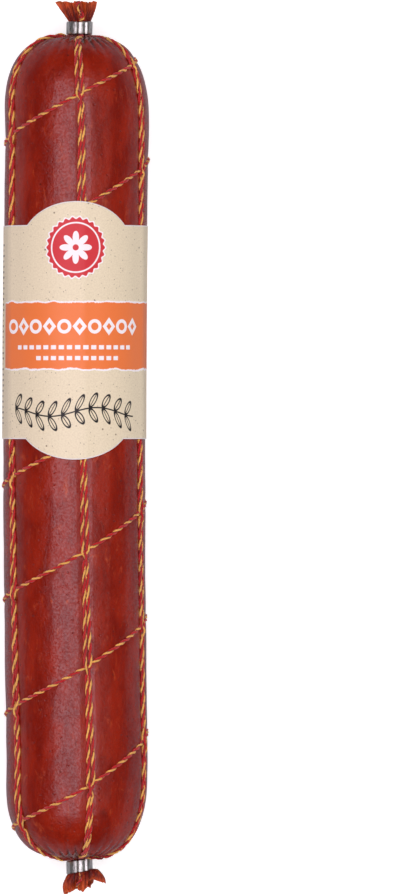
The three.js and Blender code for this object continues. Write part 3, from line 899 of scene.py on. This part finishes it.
def long_route(stick, pair, side):
    """One lengthwise strand, which crosses its neighbour below each turn of the round twine."""
    net = stick.net
    angle = net.first_pair + pair * stick.pair_step
    turns = stick.turns_at(angle)
    junctions = np.sort(turns[~np.isnan(turns)])
    lengths = np.arange(-RUN_ON, stick.total + RUN_ON, ROUTE_STEP)
    radius, along, _, _ = stick.at(lengths)
    share = stick.twine_share(radius)
    crossings = junctions + CROSSING
    cell = np.searchsorted(crossings, lengths)
    starts = np.concatenate([[-5 * MM], crossings])[cell]
    ends = np.concatenate([crossings, [stick.total + 20 * MM]])[cell]
    through = (lengths - starts) / (ends - starts)
    opened = smooth(lengths - starts, 0, OPENING[0]) * smooth(ends - lengths, 0, OPENING[1])
    held = smooth(radius, 3 * MM, 8 * MM)
    spread = (net.close + (net.open - net.close) * through**1.8) * opened
    from_end = np.minimum(lengths, stick.total - lengths)
    spread = spread * (0.35 + 0.65 * smooth(from_end, 14 * MM, 34 * MM))
    spread = CLOSED * (1 - held) + spread * held
    hand = side * np.where(cell % 2 == 0, 1, -1)
    covered = stick.under_label(angle, radius, along)
    thick = 1.28 * MM * share
    stacked = np.sqrt(np.maximum(thick**2 - (2 * spread) ** 2, 0)) / 2
    over = hand * (1 - 2 * through) * stacked * held * (1 - 0.8 * covered)
    rise = sum(0.32 * MM * bell(lengths - junction, 1.7 * MM) for junction in junctions)
    crossed = sum(0.16 * MM * bell(lengths - crossing, 1.6 * MM) for crossing in crossings)
    lift = stick.resting(radius) + (rise + crossed) * (1 - covered) * held + over - 0.1 * MM * covered
    floor = net.ply * share + covered * UNDER_PAPER
    offset = hand * spread / np.maximum(radius + lift, MM)
    points = stick.lifted(angle + offset, lengths, lift, floor)
    return points, share


def round_route(stick):
    """The twine that runs round the stick, under each pair of strands."""
    net = stick.net
    angles = np.linspace(stick.turn_start, stick.turn_end, round(stick.all_turns * TURN_POINTS))
    lengths = stick.turn_length(angles)
    radius, along, _, _ = stick.at(lengths)
    share = stick.twine_share(radius)
    covered = stick.under_label(angles, radius, along)
    under = 1 - smooth(np.abs(stick.from_pair(angles)) * radius, 0.8 * MM, 2.9 * MM)
    lift = stick.resting(radius) - 0.45 * MM * covered
    lift = lift - 0.75 * MM * under * smooth(radius, *stick.FREEING)
    points = stick.lifted(angles, lengths, lift, net.ply * share + covered * UNDER_PAPER)
    into = np.linspace(-1.2 * MM, stick.turn_in, 12, endpoint=False)
    head = stick.lifted(stick.turn_start, into, stick.in_neck)
    foot = stick.lifted(stick.turn_end, stick.total - into[::-1], stick.in_neck)
    pinched = np.full(len(into), net.pinched / net.twine)
    return np.concatenate([head, points, foot]), np.concatenate([pinched, share, pinched])


def folded(turn):
    """0 on the outside of a fold and 1 at its bottom, for an angle that counts its folds."""
    return 0.5 - 0.5 * np.cos(turn)


def right_side(angle):
    """1 at the right of a tail, falling to 0 at its left."""
    return np.maximum(np.sin(angle + 0.1), 0) ** 2


def tail_folds(way, angle, share):
    """How deep a gathered tail is folded in, from 0 to 1, round its outside."""
    if way > 0:
        bent = 1.1 * np.sin(2 * angle + 1)
        large = folded(9 * angle + bent + 0.8 * np.sin(3 * angle) + share)
        small = folded(23 * angle + 1.6 * np.sin(2 * angle) + 2 * share)
        return 0.6 * large + 0.4 * small
    lobes = folded(5 * (angle - math.radians(10)) + 0.5 * np.sin(angle))
    small = folded(19 * angle + 1.4 * np.sin(2 * angle) + 2.5 * share)
    return 0.76 * lobes + 0.24 * small


def tail_radius(way, angle, share):
    """The outside of a gathered tail, at a share of its length from the clip."""
    folds = tail_folds(way, angle, share)
    if way > 0:
        fine = np.cos(37 * angle + 2 * np.sin(3 * angle))
        reach = (3.6 + 5.2 * share**0.8 + 0.4 * np.sin(2 * angle + 0.6) * share) * MM
        return reach * (1 - (0.16 + 0.3 * share) * folds**0.7) + 0.16 * MM * fine * share
    fine = np.cos(23 * angle + 3 * np.sin(2 * angle) + 5 * share)
    swell = np.sin(np.pi * share**0.8)
    reach = (3.4 + 4.0 * share**0.5 + 1.3 * swell + 4.6 * right_side(angle) * share**0.28) * MM
    return reach * (1 - (0.2 + 0.42 * share) * folds) + 0.24 * MM * fine * share


# ---- Operators ----


class SAUSAGE_OT_casing(bpy.types.Operator):
    """Make the stuffed casing, pressed in by its net"""

    bl_idname = "sausage.casing"
    bl_label = "Casing"

    ROWS = 400
    COLUMNS = 240
    PLEATS = 30
    TRENCH = 1.0 * MM  # reach of the sharp groove under the twine

    def execute(self, context):
        stick = Stick(context.scene)
        sizes = stick.casing
        lengths = np.linspace(0.4 * MM, stick.total - 0.4 * MM, self.ROWS)[:, None]
        angles = (np.arange(self.COLUMNS) * TURN / self.COLUMNS)[None, :]
        radius, along, out_radius, out_along = stick.at(lengths)
        laid = angles + stick.net_drift(angles, radius, along)
        covered = stick.cover(laid, along)
        full = smooth(radius, 6 * MM, 12 * MM)

        pair = np.maximum(np.abs(stick.from_pair(angles)) * radius - 0.9 * MM, 0)
        turns = stick.turns_at(angles[0])[:, None, :]
        turn = np.nanmin(np.abs(turns - lengths[None]), axis=0)
        by_pair = sizes.pressed * (0.68 * bell(pair, 2.7 * MM) + 0.32 * bell(pair, self.TRENCH))
        by_turn = sizes.pressed * (0.42 * bell(turn, 2.4 * MM) + 0.34 * bell(turn, self.TRENCH))
        pressed = np.maximum(by_pair, by_turn) + 0.35 * np.minimum(by_pair, by_turn)

        grid = stick.place(laid, radius, along)
        uneven = 0.22 * MM * ripple(grid, 45, 3.1) + 0.07 * MM * ripple(grid, 160, 7.7)
        near = smooth(radius, 2.2 * MM, 5 * MM) * (1 - smooth(radius, 11 * MM, 25 * MM))
        wander = 1.4 * ripple(grid * (1, 0, 1), 90, 5.5)
        deep = np.clip(0.75 + 1.1 * ripple(grid * (1, 0.2, 1), 110, 1.3), 0.1, 1)
        folded = np.abs(np.cos(self.PLEATS / 2 * angles + wander)) ** 0.7
        valley = (1 - folded) * near * deep * np.where(along > 0, 1.4, 1)
        puffed = 1.15 * MM * bell(radius - 5.4 * MM, 2 * MM) * smooth(radius, 2.2 * MM, 3.6 * MM)
        lift = (uneven - pressed) * full * (1 - 0.4 * covered)
        lift = lift - 0.14 * MM * covered - 1.1 * MM * valley + puffed
        floor = covered * 0.2 * MM
        points = stick.place(laid, radius + lift * out_radius, along + lift * out_along, floor)
        mesh = tube_mesh("stuffed_skin", points)
        # The crease mark is the depth of the pleat valleys; the finish paints shade into them.
        mark(mesh, "crease", np.concatenate([valley.ravel(), [0, 0]]))
        finish = casing_finish(context.scene.sausage_colours)
        add_piece("stuffed_skin", mesh, finish, "casing", "filled_casing")
        return {"FINISHED"}


class SAUSAGE_OT_tails(bpy.types.Operator):
    """Make the gathered casing that stands out of each clip"""

    bl_idname = "sausage.tails"
    bl_label = "Tails"

    COLUMNS = 220
    OUTSIDE = 34
    INSIDE = 22
    WALL = 0.32 * MM
    HOLLOW = 0.3  # share of a tail's length at which its hollow ends
    LEAN = 0.14

    def execute(self, context):
        stick = Stick(context.scene)
        finish = film_finish(context.scene.sausage_colours)
        for name, way, length in (
            ("head_tail", 1, stick.casing.tail),
            ("foot_tail", -1, stick.casing.foot_tail),
        ):
            self.make_tail(stick, finish, name, way, length)
        return {"FINISHED"}

    def make_tail(self, stick, finish, name, way, length):
        angles = np.arange(self.COLUMNS) * TURN / self.COLUMNS
        circle = np.stack([np.sin(angles), np.cos(angles), 0 * angles], axis=-1)
        tops = ripple(circle, 2.6, 4.4 + way)
        notches = ripple(circle, 9, 9.4 + way)
        short = (0.4 * right_side(angles) + 0.22 * tail_folds(way, angles, 1.0)) * (way < 0)
        rim = length * (0.92 + 0.09 * tops + 0.06 * notches - short)
        rings = []
        thin = []
        crease = []
        for share in np.linspace(0, 1, self.OUTSIDE):
            radius = tail_radius(way, angles, share)
            start = -1.2 * MM * (1 - share) ** 4
            inside = smooth(share, 0, 0.12)
            shut = radius * inside + 2.4 * MM * (1 - inside)
            rings.append(self.ring(stick, way, angles, shut, start + rim * share))
            thin.append(np.full(self.COLUMNS, share))
            crease.append(tail_folds(way, angles, share) * (1 - 0.3 * share))
        for share in np.linspace(1, self.HOLLOW, self.INSIDE):
            into = (1 - share) / (1 - self.HOLLOW)
            radius = tail_radius(way, angles, share) - self.WALL
            radius = radius * (1 - into**1.6 * 0.96)
            rings.append(self.ring(stick, way, angles, radius, rim * share - 0.05 * MM * (1 - into)))
            thin.append(np.full(self.COLUMNS, share * 0.7))
            # Deep in the hollow the crease mark rises to 1, so the finish paints it in shade.
            crease.append(np.full(self.COLUMNS, min(into * 1.5, 1.0)))
        mesh = tube_mesh(name, np.array(rings))
        # The crease mark drives painted shade in the folds and the hollow, and a painted highlight on
        # the ridges.
        for word, values, poles in (("thin", thin, [0, 0.2]), ("crease", crease, [1, 1])):
            mark(mesh, word, np.concatenate([*values, poles]))
        add_piece(name, mesh, finish, "casing", "filled_casing")

    def ring(self, stick, way, angles, radius, out):
        """One ring of a tail, this far out of its clip. The head tail leans to the left."""
        points = stick.place(angles, radius, way * (stick.neck_end + out))
        points[..., 0] -= self.LEAN * np.maximum(out, 0) * (way > 0)
        return points


class SAUSAGE_OT_clips(bpy.types.Operator):
    """Make the two closed clips"""

    bl_idname = "sausage.clips"
    bl_label = "Clips"

    RINGS = 150
    CORNER = 5
    SLIT = 0.14 * MM  # from the middle of the slit to each leg
    CREASE_DEPTH = 0.62 * MM
    WAIST_SWELL = 0.12 * MM

    def execute(self, context):
        stick = Stick(context.scene)
        finish = metal_finish(context.scene.sausage_colours)
        for name, middle, node in (
            ("head_clip_band", stick.clip_face + stick.clip.height / 2, "head_clip"),
            ("foot_clip_band", -stick.clip_face - stick.clip.height / 2, "foot_clip"),
        ):
            mesh = tube_mesh(name, self.band(stick, middle))
            add_piece(name, mesh, finish, "clip", node)
        return {"FINISHED"}

    def band(self, stick, middle):
        """Rings across the band, from one leg's end to the other's."""
        clip = stick.clip
        slit = self.SLIT / stick.clip_inner
        reach = TURN - 2 * slit
        soft = clip.rounding / (stick.clip_inner + clip.front)
        rings = []
        for share in np.linspace(0, 1, self.RINGS):
            along = slit + reach * share
            angle = clip.seam + along
            end = min(along - slit, TURN - slit - along)
            shrink = math.sqrt(max(1 - max(1 - end / soft, 0) ** 2, 0))
            inset = clip.rounding * (1 - shrink)
            thick = clip.side * math.sin(angle) ** 2 + clip.front * math.cos(angle) ** 2
            crease = self.near(angle, clip.crease, math.radians(6))
            waist = self.near(angle, clip.seam + math.radians(19), math.radians(13))
            outer = thick - self.CREASE_DEPTH * crease + self.WAIST_SWELL * waist
            rings.append(self.section(stick, angle, outer, middle, inset))
        return np.array(rings)

    def near(self, angle, middle, width):
        """1 at the middle angle, falling away over width."""
        return bell((angle - middle + math.pi) % TURN - math.pi, width)

    def section(self, stick, angle, thick, middle, inset):
        """A rounded rectangle across the band at an angle."""
        half = stick.clip.height / 2
        rounding = stick.clip.rounding
        corners = [
            (thick - rounding, half - rounding, 0),
            (rounding, half - rounding, 1),
            (rounding, rounding - half, 2),
            (thick - rounding, rounding - half, 3),
        ]
        radial = []
        along = []
        for out, up, quarter in corners:
            for k in range(self.CORNER):
                turn = (quarter + k / (self.CORNER - 1)) * math.pi / 2
                radial.append(out + (rounding - inset) * math.cos(turn))
                along.append(up + (rounding - inset) * math.sin(turn))
        radial = stick.clip_inner + np.array(radial)
        return stick.place(angle, radial, middle + np.array(along))


class SAUSAGE_OT_label(bpy.types.Operator):
    """Make the printed paper label, wrapped over the net and glued to itself"""

    bl_idname = "sausage.label"
    bl_label = "Label"

    COLUMNS = 290
    ROWS = 84
    PRINT_RADIUS = 28.4 * MM  # radius at which the print is laid out
    EASED = 0.35  # how much closer the rows are at the edges

    def execute(self, context):
        stick = Stick(context.scene)
        label = stick.label
        start = label.seam - label.overlap
        finish = label.seam + TURN
        angles = np.linspace(start, finish, self.COLUMNS)
        for corner in (label.lobe_left, label.lobe_right):
            angles[np.argmin(np.abs(angles - corner))] = corner
        low, high = stick.label_edges(angles)
        shares = (0.5 - 0.5 * np.cos(np.linspace(0, math.pi, self.ROWS)))[:, None] * self.EASED
        shares = shares + np.linspace(0, 1, self.ROWS)[:, None] * (1 - self.EASED)
        along = high[None] + (low - high)[None] * shares
        even = angles[None] - stick.net_drift(angles[None], stick.wrapped, along)
        inner = self.inner_radius(stick, angles[None], even)
        waves = ripple(stick.place(angles[None], inner, along), 60, 2.2)
        inner = inner + 0.05 * MM * waves
        below = stick.place(angles[None], inner, along, label.thickness)
        above = stick.place(angles[None], inner + label.thickness, along)
        mesh = self.sheet(above, below)
        self.print_map(mesh, angles, along, np.minimum(along - low, high - along))
        paper = label_finish(context.scene.sausage_colours)
        add_piece("wrapped_label", mesh, paper, "label", "paper_label")
        return {"FINISHED"}

    def inner_radius(self, stick, angles, even):
        """Paper pulled tight over the casing and the pairs, and over itself at the seam."""
        label = stick.label
        resting = stick.wrapped + 0.06 * MM
        ridge = resting + label.ridge
        off = np.abs(stick.from_pair(even)) - 1.3 * MM / stick.wrapped
        lean = np.maximum(math.acos(resting / ridge) - np.maximum(off, 0), 0)
        taut = resting / np.cos(lean)
        free = label.seam - label.overlap + TURN
        over = smooth(angles, free - math.radians(5), free)
        return taut + (label.thickness + 0.08 * MM) * over

    def sheet(self, above, below):
        """A closed sheet between two grids of points."""
        rows, columns = above.shape[:2]
        points = np.concatenate([above.reshape(-1, 3), below.reshape(-1, 3)])
        count = rows * columns
        faces = grid_faces(rows, columns, False)
        faces += [face[::-1] for face in grid_faces(rows, columns, False, count)]
        ring = list(range(columns))
        ring += [row * columns + columns - 1 for row in range(1, rows)]
        ring += [(rows - 1) * columns + k for k in range(columns - 2, -1, -1)]
        ring += [row * columns for row in range(rows - 2, 0, -1)]
        for a, b in zip(ring, ring[1:] + ring[:1]):
            faces.append([a, b, b + count, a + count])
        return closed_mesh("wrapped_label", points, faces)

    def print_map(self, mesh, angles, along, edge):
        """Stores the place on the paper in decimetres, and the distance to its cut edge."""
        across = np.broadcast_to(angles[None] * self.PRINT_RADIUS, along.shape)
        flat = np.column_stack([across.ravel() * 10, along.ravel() * 10])
        flat = np.concatenate([flat, flat])
        corners = np.empty(len(mesh.loops), np.int32)
        mesh.loops.foreach_get("vertex_index", corners)
        spread = mesh.uv_layers.new(name="Print")
        spread.uv.foreach_set("vector", flat[corners].astype(np.float32).ravel())
        mark(mesh, "edge", np.concatenate([edge.ravel(), edge.ravel()]))


class SAUSAGE_OT_net(bpy.types.Operator):
    """Make the twine net and its ends"""

    bl_idname = "sausage.net"
    bl_label = "Net"

    OVER_POINTS = 60
    END_POINTS = 24
    SHORT_POINTS = 12

    def execute(self, context):
        stick = Stick(context.scene)
        net = stick.net
        tree = twine_tree()
        kit = (net, tree, twine_finish(context.scene.sausage_colours))
        points, shares = round_route(stick)
        twine_piece(kit, "round_string", points, shares, net.round_twist, 0.0, "spiral_twine")
        for pair in range(net.pairs):
            for side, word in ((-1, "left"), (1, "right")):
                points, shares = long_route(stick, pair, side)
                if pair == 0 and side < 0:
                    points, shares = self.over_head_tail(stick, points, shares)
                name = f"long_string_{pair + 1}_{word}"
                node = f"long_twine_{pair + 1}_{word}"
                phase = 1.9 * pair + 1.2 * side
                twine_piece(kit, name, points, shares, net.long_twist, phase, node)
        for name, points, shares in self.loose_ends(stick):
            twine_piece(kit, name, points, shares, net.round_twist, 0.7)
        bpy.data.node_groups.remove(tree)
        return {"FINISHED"}

    def over_head_tail(self, stick, points, shares):
        """Carries a strand on over the front of the head tail, up to its rim."""
        up = np.linspace(0.86, 0.08, self.OVER_POINTS)
        angle = stick.net.first_pair - 0.1 + 0.16 * np.sin(up * 7)
        radius = tail_radius(1, angle, up) + 0.5 * MM
        over = stick.place(angle, radius, stick.neck_end + up * stick.casing.tail)
        knot = 0.95 * MM * bell(up - 0.24, 0.1)
        over[:, 0] += knot * np.cos(up * 40)
        over[:, 1] += knot * np.sin(up * 40)
        thick = np.full(self.OVER_POINTS, 0.85)
        return np.concatenate([over, points[4:]]), np.concatenate([thick, shares[4:]])

    def loose_ends(self, stick):
        """The cut ends that show at the foot."""
        crown = stick.crown
        beside = np.array([(2.4, 0.8), (4.6, 1.0), (6.6, 1.1), (8.8, 1.2), (11.2, 0.2)]) * MM
        share = np.linspace(0, 1, self.END_POINTS)
        t = np.linspace(0, 1, len(beside))
        x = np.interp(share, t, beside[:, 0]) + stick.casing.bow * (crown / stick.shoulder) ** 2
        y = -crown - np.interp(share, t, beside[:, 1])
        z = stick.casing.foot_calibre / 2 + (2.6 - 0.6 * share) * MM
        side = np.column_stack([x + stick.shift[0], y + stick.shift[1], z])
        yield "foot_string_end", side, 0.8 - 0.3 * share
        up = np.linspace(0.62, 0.05, self.SHORT_POINTS)
        angle = -0.1 + 0.2 * np.sin(up * 6)
        radius = tail_radius(-1, angle, up) + 0.3 * MM
        over = stick.place(angle, radius, -stick.neck_end - up * stick.casing.foot_tail)
        yield "foot_tail_string", over, np.full(self.SHORT_POINTS, 0.7)


class SAUSAGE_OT_studio(bpy.types.Operator):
    """Set the camera, the lights and the floor"""

    bl_idname = "sausage.studio"
    bl_label = "Studio"

    FILM = 36.0
    HEIGHT = 1.2
    FLOOR = 60.0

    def execute(self, context):
        scene = context.scene
        studio = scene.sausage_studio
        stick = Stick(scene)
        scene.view_settings.view_transform = "Standard"
        axis = stick.casing.foot_calibre / 2 - stick.casing.flattening
        camera = bpy.data.cameras.new("camera")
        camera.lens = studio.lens
        camera.sensor_width = self.FILM
        camera.clip_end = 100
        eye = put("camera", camera)
        away = studio.view_height * studio.lens / self.FILM
        eye.location = (stick.shift[0] + studio.aside, stick.shift[1], axis + away)
        scene.camera = eye
        self.set_lights(scene, studio)
        self.set_floor()
        return {"FINISHED"}

    def set_lights(self, scene, studio):
        for name, power, size_x, size_y, place, tint, mirrored in (
            ("softbox", studio.softbox, 1.16, 1.6, (-0.25, 0, self.HEIGHT), (1.0, 0.87, 0.98), True),
            ("side box", studio.side, 1.6, 2.2, (1.12, 0, self.HEIGHT), (1.0, 0.96, 0.94), True),
            ("fill", studio.fill, 2.4, 2.4, (0.75, 0, 2.4), (1.0, 1.0, 0.97), False),
        ):
            light = bpy.data.lights.new(name, "AREA")
            light.shape = "RECTANGLE"
            light.size = size_x
            light.size_y = size_y
            light.energy = power
            light.color = tint
            lamp = put(name, light)
            lamp.location = place
            lamp.visible_glossy = mirrored
        world = bpy.data.worlds.new("surroundings")
        scene.world = world
        world.use_nodes = True
        n = Nodes(world.node_tree)
        seen = n.add("ShaderNodeLightPath", output="Is Camera Ray")
        mirrored = n.add("ShaderNodeLightPath", output="Is Glossy Ray")
        strength = seen + mirrored * studio.mirrored_sky + (1 - seen - mirrored) * studio.sky
        background = world.node_tree.nodes["Background"]
        n.give(background.inputs["Color"], (1, 1, 1))
        n.give(background.inputs["Strength"], strength)

    def set_floor(self):
        half = self.FLOOR / 2
        mesh = bpy.data.meshes.new("floor")
        corners = [(-half, -half, 0), (half, -half, 0), (half, half, 0), (-half, half, 0)]
        mesh.from_pydata(corners, [], [[0, 1, 2, 3]])
        f = Finish("studio_floor", roughness=1.0, specular_ior_level=0.0, emission_strength=1.0)
        mirrored = f.add("ShaderNodeLightPath", output="Is Glossy Ray")
        seen = f.add("ShaderNodeLightPath", output="Is Camera Ray")
        pale = f.blend(mirrored, (0.88, 0.88, 0.88), (0.34, 0.34, 0.36))
        glow = f.blend(seen, (0, 0, 0), (0.5, 0.5, 0.5))
        mesh.materials.append(f.wear(base_color=pale, emission_color=glow))
        put("floor", mesh)


class SAUSAGE_PT_makers(bpy.types.Panel):
    """Lists what makes the sausage"""

    bl_idname = "SAUSAGE_PT_makers"
    bl_label = "Cured Sausage"
    bl_space_type = "VIEW_3D"
    bl_region_type = "UI"
    bl_category = "Sausage"

    def draw(self, context):
        for maker in MAKERS:
            self.layout.operator(maker.bl_idname)
        for name, group in SETTINGS:
            box = self.layout.box()
            box.label(text=group.__doc__)
            for setting in group.__annotations__:
                box.prop(getattr(context.scene, name), setting)


SETTINGS = (
    ("sausage_casing", CasingSizes),
    ("sausage_net", NetSizes),
    ("sausage_clip", ClipSizes),
    ("sausage_label", LabelSizes),
    ("sausage_colours", Colours),
    ("sausage_studio", StudioSettings),
)
MAKERS = (
    SAUSAGE_OT_studio,
    SAUSAGE_OT_casing,
    SAUSAGE_OT_tails,
    SAUSAGE_OT_net,
    SAUSAGE_OT_clips,
    SAUSAGE_OT_label,
)


def register():
    for name, group in SETTINGS:
        bpy.utils.register_class(group)
        setattr(bpy.types.Scene, name, PointerProperty(type=group))
    for maker in MAKERS:
        bpy.utils.register_class(maker)
    bpy.utils.register_class(SAUSAGE_PT_makers)


def unregister():
    bpy.utils.unregister_class(SAUSAGE_PT_makers)
    for maker in reversed(MAKERS):
        bpy.utils.unregister_class(maker)
    for name, group in reversed(SETTINGS):
        delattr(bpy.types.Scene, name)
        bpy.utils.unregister_class(group)


def main():
    register()
    for make in (
        bpy.ops.sausage.studio,
        bpy.ops.sausage.casing,
        bpy.ops.sausage.tails,
        bpy.ops.sausage.net,
        bpy.ops.sausage.clips,
        bpy.ops.sausage.label,
    ):
        make()


if __name__ == "__main__":
    main()
